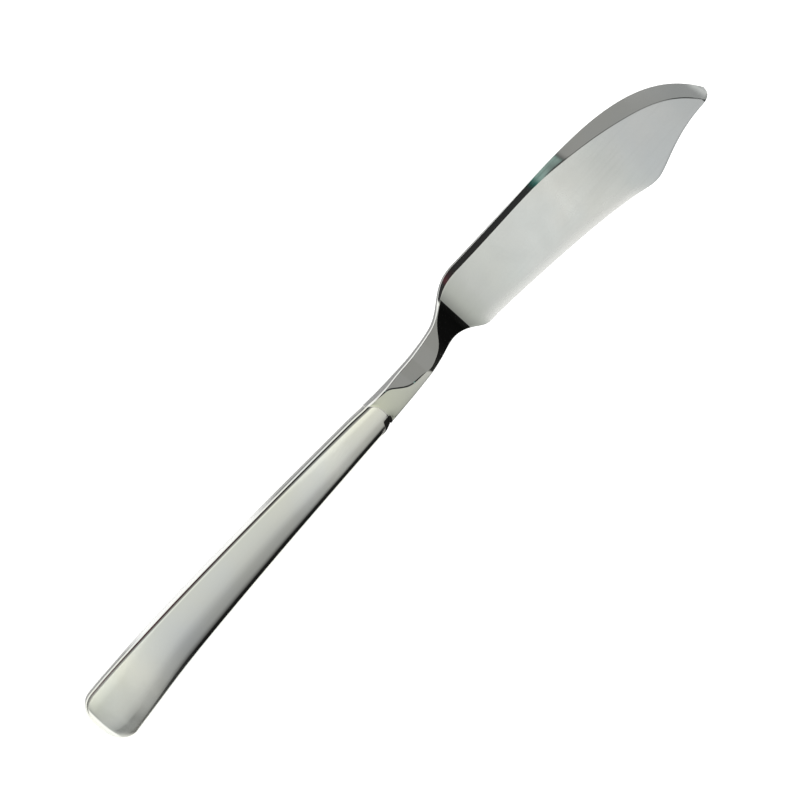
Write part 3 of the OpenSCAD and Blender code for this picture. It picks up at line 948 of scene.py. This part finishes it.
    def section(self, x: float) -> list[tuple[float, float, float]]:
        """The section at x.

        Args:
            x: place along the handle.

        Returns:
            y, z and outward angle from straight up of each point, from the back's side over
            the top to the edge side and back below.
        """
        half, back_r, edge_r, crown_r, apex_y = self.arch(x)
        turn, edge_turn = self.turns(x)
        stop, level = math.radians(self.break_angle), math.pi / 2
        break_r = min(self.break_r, half * self.break_share)
        crown_z = self.axis_z - crown_r
        back_z = crown_z + (crown_r - back_r) * math.cos(turn)
        edge_y = apex_y - (crown_r - edge_r) * math.sin(edge_turn)
        edge_z = crown_z + (crown_r - edge_r) * math.cos(edge_turn)
        break_z = edge_z + (edge_r - break_r) * math.cos(stop)
        roll = self.roll_share(x)
        fuller = self.plan_share(x, self.back_square) / self.plan_share(x, self.butt_square)
        upper: list[tuple[float, float, float]] = []
        for mid_y, mid_z, r, start, end, steps, first, past in (
            (half - back_r, back_z, back_r, level, turn, self.shoulder_steps, 0, 1),
            (apex_y, crown_z, crown_r, turn, -edge_turn, self.crown_steps, 1, 0),
            (edge_y, edge_z, edge_r, -edge_turn, -stop, self.shoulder_steps, 0, 1),
            (break_r - half, break_z, break_r, -stop, -level, self.break_steps, 1, 1),
        ):
            for i in range(first, steps + past):
                a = mix(start, end, i / steps)
                y = mid_y + r * math.sin(a)
                upper.append((y * fuller if y > 0 else y, (mid_z + r * math.cos(a)) * roll, a))
        return upper + [(y, -z, math.pi - a) for y, z, a in reversed(upper)]

    def ring(self, x: float, inset: float = 0.0, at: float | None = None) -> Ring:
        """One ring of the handle's skin.

        Args:
            x: the section's place.
            inset: how far inside the skin the ring lies.
            at: where the ring is put, if not at x.

        Returns:
            The ring's points in the row frame, in metres.
        """
        points = []
        place, middle = x if at is None else at, self.mid(x)
        for y, z, a in self.section(x):
            under = self.drop(x, y) + inset
            across, up = middle + y - under * math.sin(a), self.axis_z + z - under * math.cos(a)
            points.append(settle(place - self.sweep(x, y), across, up))
        return points

    def stations(self) -> list[float]:
        """Places of the rings, close together at the butt and at the joint."""
        butt = [self.butt_round_l * (1 - math.cos(math.pi / 2 * i / self.butt_steps)) for i in range(self.butt_steps)]
        front = self.length - self.step_l
        sides = [mix(self.butt_round_l, front, i / self.side_steps) for i in range(self.side_steps)]
        ends = (1 - i / self.front_steps for i in range(self.front_steps + 1))
        return butt + sides + [self.length - self.step_l * end**self.front_crowding for end in ends]

    def step_shade_share(self, co: Vector) -> float:
        """How much painted shade a point of a finished piece takes, in the step at the joint's lower end."""
        place = co / MM - settle(0, self.mid(self.length), 0) / MM
        before = self.length - self.sweep(self.length, place.y) - place.x
        return self.edge_side(place.y) * guide(self.step_shade_rows, before)

    def keep_step_shade(self, piece: Piece) -> None:
        """Writes the share of painted shade in the joint's step into a piece's attribute."""
        soot = piece.data.attributes.new(self.step_shade_name, "FLOAT", "POINT")
        for vertex, kept in zip(piece.data.vertices, soot.data):
            kept.value = self.step_shade_share(vertex.co)

    def cut(self, name: str, node: str, above: float | None, below: float | None) -> Piece:
        """Cuts a strip with the shells' wall out of the handle's skin.

        Args:
            name: the piece's name.
            node: the solid that it replaces.
            above: height over the seam's middle from which it is kept, if it is cut there.
            below: height over the seam's middle up to which it is kept, if it is cut there.

        Returns:
            The piece.
        """
        piece = Loft(name, [self.ring(x) for x in self.stations()]).finish(0)
        pick(piece)
        bpy.ops.object.mode_set(mode="EDIT")
        for height, inner in ((above, True), (below, False)):
            if height is None:
                continue
            bpy.ops.mesh.select_all(action="SELECT")
            bpy.ops.mesh.bisect(
                plane_co=(0, 0, (self.axis_z + height) * MM), plane_no=(0, 0, 1), clear_inner=inner,
                clear_outer=not inner,
            )
        bpy.ops.object.mode_set(mode="OBJECT")
        apply_modifier(
            piece, "SOLIDIFY", thickness=self.wall * MM, offset=-1, use_even_offset=False, use_rim=True
        )
        smooth(piece)
        self.keep_step_shade(piece)
        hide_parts(node)
        return piece

    def build_collar(self) -> Piece:
        """Draws the ring of braze that joins the shells to the neck."""
        start, end = self.length, self.length + self.collar_t
        lines = [self.ring(start, inset, at) for inset, at in (
            (self.collar_depth, start), (self.collar_sink, start), (self.collar_hollow, (start + end) / 2),
            (self.collar_sink, end), (self.collar_depth, end),
        )]
        piece = Loft("dressed_collar_braze", [*lines, lines[0]]).finish(merge=MM / 1000)
        smooth(piece, self.collar_sharp)
        self.keep_step_shade(piece)
        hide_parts("collar_braze")
        return piece

    def build(self) -> list[Piece]:
        """Builds the two shells and both strips of braze."""
        half = self.seam_t / 2
        return [
            self.cut("polished_handle_top_shell", "handle_top_shell", half, None),
            self.cut("polished_handle_bottom_shell", "handle_bottom_shell", None, -half),
            self.cut("dressed_seam_braze", "seam_braze", -half, half),
            self.build_collar(),
        ]

    def dress(self, pieces: Sequence[Piece], effects: Effects) -> None:
        """Gives the shells their steel and both strips of braze their silver.

        Args:
            pieces: the two shells, the seam and the collar.
            effects: the effects that the finishes share.
        """
        steel = PolishedSteel(
            "polished_handle_steel", effects, self.step_shade_name, end_x=self.length,
            colour=(0.865, 0.872, 0.8), cool=(0.84, 0.862, 0.835),
            crown_haze=((0, 0.12), (0.14, 0.12), (0.28, 0), (0.62, 0), (0.74, 0.05), (0.84, 0.12), (1, 0.2)),
            shoulder_haze=((0, 0.2), (0.07, 0.17), (0.12, 0.12), (0.2, 0.03), (0.3, 0), (1, 0)),
            # Top faces painted darker near the butt, as painted shade in their reflection
            painted_top_light=(
                (0, (0.68, 0.7, 0.71)), (0.02, (0.7, 0.72, 0.73)), (0.055, (0.86, 0.88, 0.89)),
                (0.16, (1, 1, 0.99)), (0.3, (0.97, 0.98, 1)), (0.6, (0.97, 0.98, 0.99)), (0.8, (1, 1, 1)),
                (1, (1, 1, 0.99)),
            ),
            # Side faces painted light at the butt's end and along the middle, dark elsewhere, as painted reflections
            side_shade=(
                (0, 0.8), (0.015, 0.8), (0.035, 0.2), (0.17, 0.2), (0.24, 0.9), (0.6, 0.9), (0.69, 0.15), (1, 0.15),
            ),
        ).build()
        braze = Braze("dressed_silver_braze", effects, self.step_shade_name).build()
        finishes = ((steel, Slot.HANDLE), (steel, Slot.HANDLE), (braze, Slot.BRAZE), (braze, Slot.BRAZE))
        for piece, (material, slot) in zip(pieces, finishes):
            dress(piece, material, slot)


@dataclass
class Forging:
    """Blade, neck and tang in one piece of steel.

    Lengths are in millimetres, x from the butt, y from the axis and z from the table. A row holds
    place, value and slope of a curve's knots.
    """

    handle: Handle
    joint_x: float = 98.96
    heel_x: float = 126.86
    peak_x: float = 134.36
    belly_x: float = 182.07
    notch_x: float = 201.38
    tip_x: float = TIP_X
    back_rise: float = BACK_RISE
    heel_drop: float = 6.25
    belly_drop: float = BELLY_DROP
    notch_drop: float = 9.75
    tip_drop: float = 7.2
    blade_t: float = 2.2
    heel_rise: float = 0.25
    face_fall: float = 0.0773
    face_from_y: float = 8.4
    start_fall: float = 0.775
    bevel_share: float = 0.9
    bevel_reach: float = 0.97
    least_along: float = 0.3
    lip_share: float = 0.25
    lip_w: float = 0.28
    lip_angle: float = 39.0
    crest_gap: float = 0.06
    crease_r: float = 0.05
    riser_run: float = 1.28
    ramp_blend: float = 0.22
    flat_crown_r: float = 24.0
    tang_l: float = 42.0
    tang_w: float = 4.2
    tang_t: float = 2.4
    point_share: float = 0.12
    point_w: float = 0.5
    notch_d: float = 0.7
    notches: int = 4
    notch_from: float = 0.16
    notch_pitch: float = 0.165
    notch_stagger: float = 0.082
    notch_shares: Shade = (0.018, 0.053, 0.072)
    honed_highlight_w: float = 4.2
    honed_highlight_name: str = "honed_highlight"
    face_steps: int = 22
    facet_steps: int = 4
    neck_steps: int = 110
    blade_steps: int = 130
    heel_pair: float = 0.06
    foot_steps: int = 5
    edge_steps: int = 6
    bottom_steps: int = 4
    crease_steps: tuple[int, int] = (3, 4)
    bevel_cuts: Fade = (0.1, 0.06)
    edge_r_share: float = 0.05
    draft_share: float = 0.1
    tip_share: float = 0.1
    back_pulls: tuple[Fade, Fade] = ((0.48, 0.86), (0.86, 1.27))
    belly_pulls: tuple[Fade, Fade] = ((0.92, 0.57), (0.9, 1))
    notch_pulls: tuple[Fade, Fade] = ((0.18, 0), (0.48, 1))
    tip_pulls: tuple[Fade, Fade] = ((0.52, 0), (1, 1 / 9))

    back_rows: Rows = (
        (98.96, 3.35, -0.11), (106.5, 2.95, -0.01), (113.5, 3.03, 0.06), (120, 3.72, 0.22),
        (125.5, 6.38, 0.7), (130, 8.86, 0.36), (134.36, 9.5, 0),
    )
    edge_rows: Rows = (
        (98.96, -3.7, 0.06), (118.13, -2.36, 0.16), (122, -1.84, 0),
        (127.2, -3.78, -0.72), (130.3, -5.94, -0.3), (134.36, -6.25, -0.1),
    )
    crest_rows: Rows = (
        (98.96, 2.763, -0.02), (101.5, 2.62, -0.2), (103.6, 1.9, -0.62), (105.3, 0.35, -0.85),
        (107.05, -0.95, -0.5), (109.95, -1.57, -0.07), (112.6, -1.8, -0.14), (113.7, -1.95, 0.05),
        (115.8, -1.5, 0.32), (118.7, -0.1, 0.78), (120.4, 1.6, 1.1), (122.5, 3.65, 0.8),
        (125, 5.25, 0.6), (126.86, 6.35, 0.6),
    )
    riser_rows: Rows = (
        (98.96, 0, 0), (100.6, 0.02, 0.03), (103.6, 0.3, 0.02), (107, 0.3, -0.01),
        (110.5, 0.2, -0.04), (113.4, 0, 0),
    )
    ramp_rows: Rows = (
        (112.2, 5.85, -0.16), (117.3, 4.8, -0.23), (121.8, 3.6, -0.27), (126.86, 2.45, -0.17),
    )
    start_rows: Rows = ((98.96, 1, 0), (102.96, 0, 0))
    draft_rows: Rows = ((98.96, 0, 0), (102.96, 0.15, 0), (121.66, 0.15, 0), (134.36, 0.05, 0))
    bevel_rows: Rows = (
        (98.96, 0.543, 0), (102.96, 0.3, 0), (121.66, 0.3, 0), (134.36, 1.35, 0), (150, 1.35, 0), (158, 1.4, 0.02),
        (167, 2, 0.12), (177, 3.1, 0.1), (188, 3.95, 0.02), (198, 3.7, -0.05), (205, 3.2, -0.08),
    )
    tilt_rows: Rows = ((124.46, 60, 0), (126.86, 41, 0), (163, 41, 0), (177, 25.5, 0))
    lip_rows: Rows = ((163, 0, 0), (177, 1, 0))
    cut_rows: Rows = ((98.96, 0.473, 0), (102.96, 0.2, 0), (121.66, 0.2, 0), (134.36, 0.12, 0))
    edge_r_rows: Rows = ((121.66, 0.3, 0), (134.36, 0.15, 0))
    foot_r_rows: Rows = ((121.66, 1.1, 0), (134.36, 0.15, 0))
    facet_rows: Rows = ((98.96, 20, 0), (102.96, 25, 0))
    facet_fade: Rows = ((125.26, 1, 0), (126.86, 0, 0))
    crest_fade: Rows = ((125.86, 1, 0), (126.86, 0, 0))
    honed_highlight_rows: Rows = ((127.86, 0, 0), (131.86, 1, 0), (174.07, 1, 0), (184.07, 0.3, 0))
    arch_rows: Rows = ((98.96, 0.28, 0.05), (111.74, 0.7, 0), (125.09, 0, 0))

    def face(self, y: float) -> float:
        """Height of the blade's plane face."""
        return self.blade_t - self.face_fall * (self.face_from_y - y)

    def top_of_ramp(self, x: float, y: float) -> float:
        """Height of the ramp, and past the heel line of the blade's face."""
        start, end = self.ramp_rows[0][0], self.ramp_rows[-1][0]
        if x < start:
            return self.handle.thick + 1
        if x <= end:
            return guide(self.ramp_rows, x) + (self.face(y) - self.blade_t) * ease((x - start) / (end - start))
        left = max(0.0, 1 - (x - end) / (self.peak_x - end))
        return self.face(y) + self.heel_rise * left * left

    def crown(self, x: float, y: float) -> float:
        """Height of the neck's crown, which flattens behind the joint."""
        flat = 1 - guide(self.start_rows, x)
        front_r, apex_y = self.handle.arch(self.handle.length)[3:]
        r = mix(front_r, self.flat_crown_r, flat)
        y -= mix(apex_y - self.handle.front_sag, 0.0, flat)
        return self.handle.thick - r + math.sqrt(r * r - y * y)

    def neck_top(self, x: float, y: float) -> float:
        """Height of the forging's top beside the long facet."""
        ramp = self.top_of_ramp(x, y)
        if x > self.heel_x:
            return ramp
        crown = self.crown(x, y)
        near = max(0.0, 1 - abs(crown - ramp) / self.ramp_blend)
        return min(crown, ramp) - near * near * self.ramp_blend / 4

    def close(self, corners: list[Corner], tops: Ring, edge: Corner, foot: Corner) -> Ring:
        """Carries a ring on from the back's side.

        Args:
            corners: the corners of the back's side, from its foot up.
            tops: the points of the top.
            edge: the upper corner of the edge side.
            foot: the lower corner of the edge side.

        Returns:
            The ring's points, with its corners rounded.
        """
        crease = dict(enumerate(self.crease_steps, self.facet_steps + 1))
        upper = [Corner(top, self.crease_r, crease.get(i, 0)) for i, top in enumerate(tops, 1)]
        across, count = corners[0].point, self.bottom_steps
        lower = [Corner(foot.point.lerp(across, i / count)) for i in range(1, count)]
        return rounded([*corners, *upper, edge, foot, *lower])

    def neck_ring(self, x: float) -> Ring:
        """One ring of the neck, square to the knife.

        Args:
            x: the ring's place.

        Returns:
            The ring's points, before they are settled.
        """
        back, edge, foot_z = (guide(rows, x) for rows in (self.back_rows, self.edge_rows, self.arch_rows))
        draft, bevel, cut = (guide(rows, x) for rows in (self.draft_rows, self.bevel_rows, self.cut_rows))
        edge_r, foot_r, riser = (guide(rows, x) for rows in (self.edge_r_rows, self.foot_r_rows, self.riser_rows))
        tilt, facet_tilt = (math.radians(guide(rows, x)) for rows in (self.tilt_rows, self.facet_rows))
        fall = mix(bevel * math.tan(tilt), self.start_fall, guide(self.start_rows, x))
        slope = math.tan(facet_tilt) * guide(self.facet_fade, x)
        gap = self.crest_gap * guide(self.crest_fade, x)
        before_heel = x < self.heel_x
        outer, inner_edge = back - draft - bevel, edge + edge_r
        crest_y = min(guide(self.crest_rows, x), outer - gap - riser * self.riser_run)
        valley_y, valley_z = crest_y + riser * self.riser_run, self.neck_top(x, crest_y) - riser
        outer_z = valley_z - (outer - valley_y) * slope if before_heel else self.neck_top(x, outer)
        corners = [
            Corner(Vector((x, back, foot_z)), foot_r, self.foot_steps),
            Corner(Vector((x, back - draft, outer_z - fall)), cut, self.foot_steps),
            Corner(Vector((x, outer + bevel * self.lip_share, outer_z - fall * self.lip_share))),
            Corner(Vector((x, outer, outer_z)), cut, self.foot_steps),
        ]
        spread = ease((x - self.heel_x) / (self.peak_x - self.heel_x))
        facet, total = self.facet_steps + 1, self.facet_steps + 2 + self.face_steps
        tops = []
        for i in range(1, total + 1):
            if i <= facet:
                own = mix(outer, valley_y, i / facet)
            else:
                own = mix(crest_y, inner_edge, (i - facet - 1) / (self.face_steps + 1))
            y = mix(own, mix(outer, inner_edge, i / (total + 1)), spread)
            on_facet = before_heel and i <= facet
            tops.append(Vector((x, y, mix(outer_z, valley_z, i / facet) if on_facet else self.neck_top(x, y))))
        top = Corner(Vector((x, edge, self.neck_top(x, edge))), edge_r, self.edge_steps)
        return self.close(corners, tops, top, Corner(Vector((x, edge, foot_z)), foot_r, self.foot_steps))

    def back_curve(self) -> list[Vector]:
        """Control points of the blade's back."""
        run = self.tip_x - self.peak_x
        pulled = [(self.peak_x + along * run, rise * self.back_rise) for along, rise in self.back_pulls]
        return plan((self.peak_x, self.back_rise), *pulled, (self.tip_x, -self.tip_drop))

    def edge_curve(self, x: float) -> list[Vector]:
        """Control points of the cubic that the edge side follows at x: the belly, the notch or the tip."""
        end_drop = mix(self.tip_drop, self.notch_drop, self.tip_share)
        spans = (
            (self.peak_x, self.heel_drop, self.belly_x, self.belly_drop, self.belly_pulls),
            (self.belly_x, self.belly_drop, self.notch_x, self.notch_drop, self.notch_pulls),
            (self.notch_x, self.notch_drop, self.tip_x, end_drop, self.tip_pulls),
        )
        x0, d0, x1, d1, pulls = next((span for span in spans if x <= span[2]), spans[-1])
        pulled = [(mix(x0, x1, along), -mix(d0, d1, down)) for along, down in pulls]
        return plan((x0, -d0), *pulled, (x1, -d1))

    def blade_ring(self, u: float) -> Ring:
        """One ring of the blade.

        Args:
            u: share of the back's curve at which the ring starts.

        Returns:
            The ring's points, before they are settled.
        """
        back = self.back_curve()
        b, along = bezier(back, u), bezier_way(back, u)
        low = self.edge_curve(b.x)
        local = share_at(low, b.x)
        e, edge_along = bezier(low, local), bezier_way(low, local)
        up, down = Vector((0, 0, 1)), Vector((0, -1, 0))
        reach = b.y - e.y
        edge_r = min(guide(self.edge_r_rows, b.x), reach * self.edge_r_share)
        outer = e + Vector((-edge_along.y, edge_along.x, 0)) * edge_r
        wide, lip = guide(self.bevel_rows, b.x), guide(self.lip_rows, b.x)
        tilt = math.radians(guide(self.tilt_rows, b.x))
        steep = 1 / max(along.x, self.least_along)
        draft, whole = min(guide(self.draft_rows, b.x) * steep, reach * self.draft_share), wide * steep
        full_z = self.face(b.y - draft - whole)
        fall = min(wide * math.tan(tilt), full_z * self.bevel_share)
        share = min(1.0, (reach * self.bevel_reach - draft) / whole)
        bevel = whole * share
        inner, inner_z = b + down * (draft + bevel), full_z - fall * (1 - share)
        lip_w = bevel * mix(self.lip_share, self.lip_w / wide, lip)
        lip_d = mix(fall * self.lip_share, self.lip_w * math.tan(math.radians(self.lip_angle)), lip) * share
        corners = [
            Corner(b.copy(), edge_r, self.foot_steps),
            Corner(b + down * draft + up * (full_z - fall), self.bevel_cuts[0], self.foot_steps),
            Corner(inner - down * lip_w + up * (inner_z - lip_d)),
            Corner(inner + up * inner_z, self.bevel_cuts[1], self.foot_steps),
        ]
        total = self.facet_steps + 2 + self.face_steps
        flat = [inner.lerp(outer, i / (total + 1)) for i in range(1, total + 1)]
        tops = [point + up * min(self.face(point.y), inner_z) for point in flat]
        top = Corner(e + up * min(self.face(e.y), inner_z), edge_r, self.edge_steps)
        return self.close(corners, tops, top, Corner(e.copy(), edge_r, self.foot_steps))

    def tang_rings(self, root: Ring) -> list[Ring]:
        """Rings of the tang, from its point to its root.

        Args:
            root: the neck's first ring, whose points are drawn in to the tang.

        Returns:
            The tang's rings.
        """
        mid_z, tang_y = self.handle.axis_z, -self.handle.front_sag / 2
        cut = 1 - self.notch_d / (self.tang_w / 2)
        places = [(0.0, self.point_w, self.point_w), (self.point_share, 1.0, 1.0), (self.notch_from, 1.0, 1.0)]
        for i in range(self.notches):
            at = self.notch_from + self.notch_pitch * i
            for shift, left, right in ((0.0, 1.0, cut), (self.notch_stagger, cut, 1.0)):
                start, stop, past = (at + shift + share for share in self.notch_shares)
                places += [(start, left, right), (stop, left, right), (past, 1.0, 1.0)]
        rings = []
        for share, left, right in [*places, (1.0, 1.0, 1.0)]:
            ring = []
            for p in root:
                y, z = p.y - tang_y, p.z - mid_z
                wide = self.tang_w / 2 * (left if y > 0 else right)
                scale = min(wide / max(abs(y), 1e-6), self.tang_t / 2 / max(abs(z), 1e-6))
                ring.append(Vector((self.joint_x - self.tang_l * (1 - share), tang_y + y * scale, mid_z + z * scale)))
            rings.append(ring)
        return rings

    def stations(self) -> list[float]:
        """Places of the neck's rings, with a close pair either side of the heel line."""
        even = [mix(self.joint_x, self.peak_x, i / self.neck_steps) for i in range(self.neck_steps + 1)]
        close = [self.heel_x - self.heel_pair, self.heel_x, self.heel_x + self.heel_pair]
        return sorted([x for x in even if all(abs(x - c) > 2 * self.heel_pair for c in close)] + close)

    def place(self, p: Vector) -> Vector:
        """Draws a point back along the curved joint and settles it."""
        back = self.handle.sweep(p.x - self.handle.collar_t, p.y + self.handle.front_sag)
        return settle(p.x - back, p.y, p.z)

    def build(self) -> Piece:
        """Builds the forging from the tang's point to the blade's tip."""
        rings = [self.neck_ring(x) for x in self.stations()]
        rings += [self.blade_ring(i / self.blade_steps) for i in range(1, self.blade_steps + 1)]
        rings = self.tang_rings(rings[0]) + rings
        skin = Loft("polished_forging", [[self.place(p) for p in ring] for ring in rings])
        piece = skin.finish(0, -1)
        honed_highlight = piece.data.attributes.new(self.honed_highlight_name, "FLOAT", "POINT")
        for ring, indices in zip(rings, skin.known):
            low = min(ring, key=lambda p: p.y)
            for point, index in zip(ring, indices):
                honed_highlight.data[index].value = self.honed_highlight_share(point, low)
        smooth(piece)
        self.handle.keep_step_shade(piece)
        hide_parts("blade")
        return piece

    def dress(self, piece: Piece, effects: Effects) -> None:
        """Gives the forging its steel, hazy along the blade and honed at the edge, with a painted highlight on the
        honed strip and painted light on its tops and sides.
        """
        steel = PolishedSteel(
            "polished_blade_steel", effects, self.handle.step_shade_name, start_x=self.joint_x, end_x=self.tip_x,
            honed_highlight_name=self.honed_highlight_name,
            crown_haze=(
                (0, 0.08), (0.1, 0.04), (0.2, 0), (0.25, 0), (0.36, 0.08), (0.5, 0.2), (0.66, 0.2), (0.8, 0.08),
                (1, 0.04),
            ),
            # Top faces painted darker on the neck and at the heel line and lighter mid-blade, as painted reflections
            painted_top_light=(
                (0, (0.79, 0.81, 0.7)), (0.06, (0.8, 0.815, 0.73)), (0.12, (0.9, 0.9, 0.86)),
                (0.22, (0.97, 0.98, 0.95)), (0.262, (0.66, 0.68, 0.65)), (0.29, (0.8, 0.825, 0.79)),
                (0.334, (0.93, 0.95, 0.94)), (0.4, (1, 1.02, 1)), (0.466, (1.08, 1.08, 1.06)),
                (0.554, (1.11, 1.11, 1.09)), (0.642, (1.06, 1.07, 1.05)), (0.73, (0.94, 0.965, 0.965)),
                (0.8, (0.95, 0.96, 0.98)), (1, (0.975, 0.975, 0.99)),
            ),
            # Side faces painted dark on the neck and light along the spine mid-blade, as painted reflections
            side_shade=(
                (0, 0.16), (0.2, 0.16), (0.3, 0.08), (0.38, 0.08), (0.466, 0.45), (0.554, 0.9), (0.66, 0.9),
                (0.8, 0.6), (0.88, 0.2), (1, 0.2),
            ),
        )
        dress(piece, steel.build(), Slot.BLADE)

    def honed_highlight_share(self, point: Vector, low: Vector) -> float:
        """How far a point lies within the honed strip along the cutting edge, from 0 to 1; the strip is hazy and
        painted lighter as a painted highlight.
        """
        away = Vector((point.x - low.x, point.y - low.y)).length
        return guide(self.honed_highlight_rows, point.x) * max(0.0, 1 - away / self.honed_highlight_w)


def main() -> None:
    """Builds the studio and the knife, and reports each piece."""
    logging.basicConfig(level=logging.INFO, format="%(name)s %(message)s")
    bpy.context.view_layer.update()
    Studio().build()
    effects, handle = Effects(), Handle()
    forging = Forging(handle)
    forging.dress(forging.build(), effects)
    handle.dress(handle.build(), effects)
    dress(frame["nodes"]["tang_cement"], Cement("matt_handle_cement", effects).build(), Slot.CEMENT)


if __name__ == "__main__":
    main()
